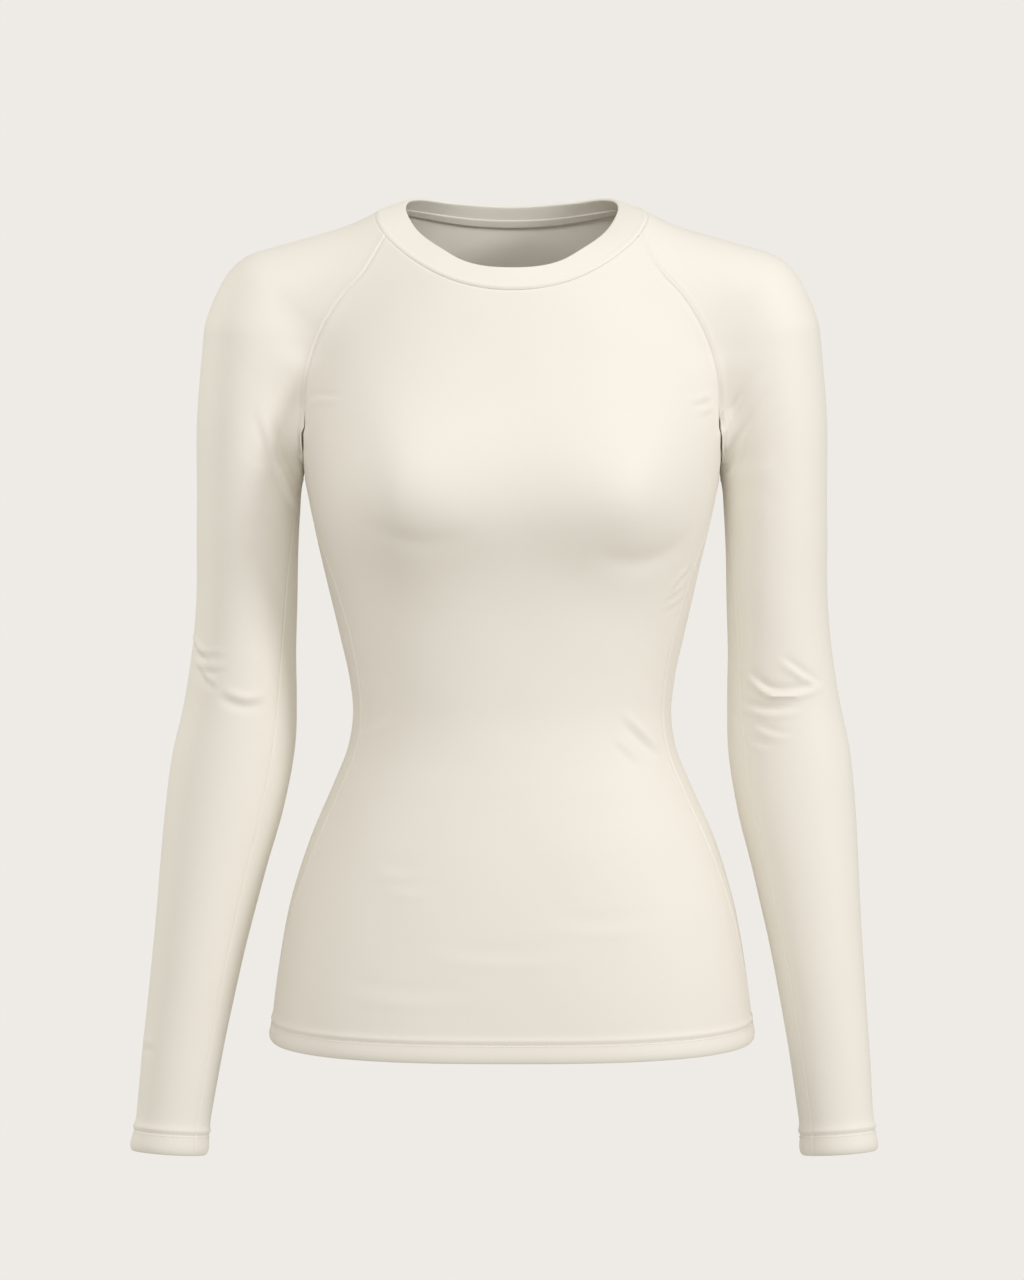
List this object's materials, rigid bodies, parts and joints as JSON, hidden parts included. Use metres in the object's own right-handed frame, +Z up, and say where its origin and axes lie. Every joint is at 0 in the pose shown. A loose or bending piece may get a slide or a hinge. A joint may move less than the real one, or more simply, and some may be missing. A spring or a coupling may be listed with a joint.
{
  "type": "long-sleeve thermal base layer top",
  "caption": "Close-fitting long-sleeved raglan knit top with a crew neckband, filled out as when worn, hollow and open at neck, hem and cuffs.",
  "frame": {"origin": "middle of the neck opening, level with the high points of the neckband at the shoulders, where the wearer's neck and shoulders hold the top", "axes": "+Z up, from hem to neck; -Y the wearer's front; +X the wearer's left"},
  "size_m": [0.5193, 0.2346, 0.6708],
  "materials": {
    "body_knit": "smooth fine-gauge cream knit with a soft low sheen",
    "band_knit": "cream knit folded double, soft low sheen",
    "seam_tape": "matt cream cotton tape"
  },
  "bodies": {
    "root": {"front_panel": "body_knit", "back_panel": "body_knit", "left_sleeve": "body_knit", "right_sleeve": "body_knit", "neckband": "band_knit", "neck_tape": "seam_tape"}
  },
  "joints": []
}
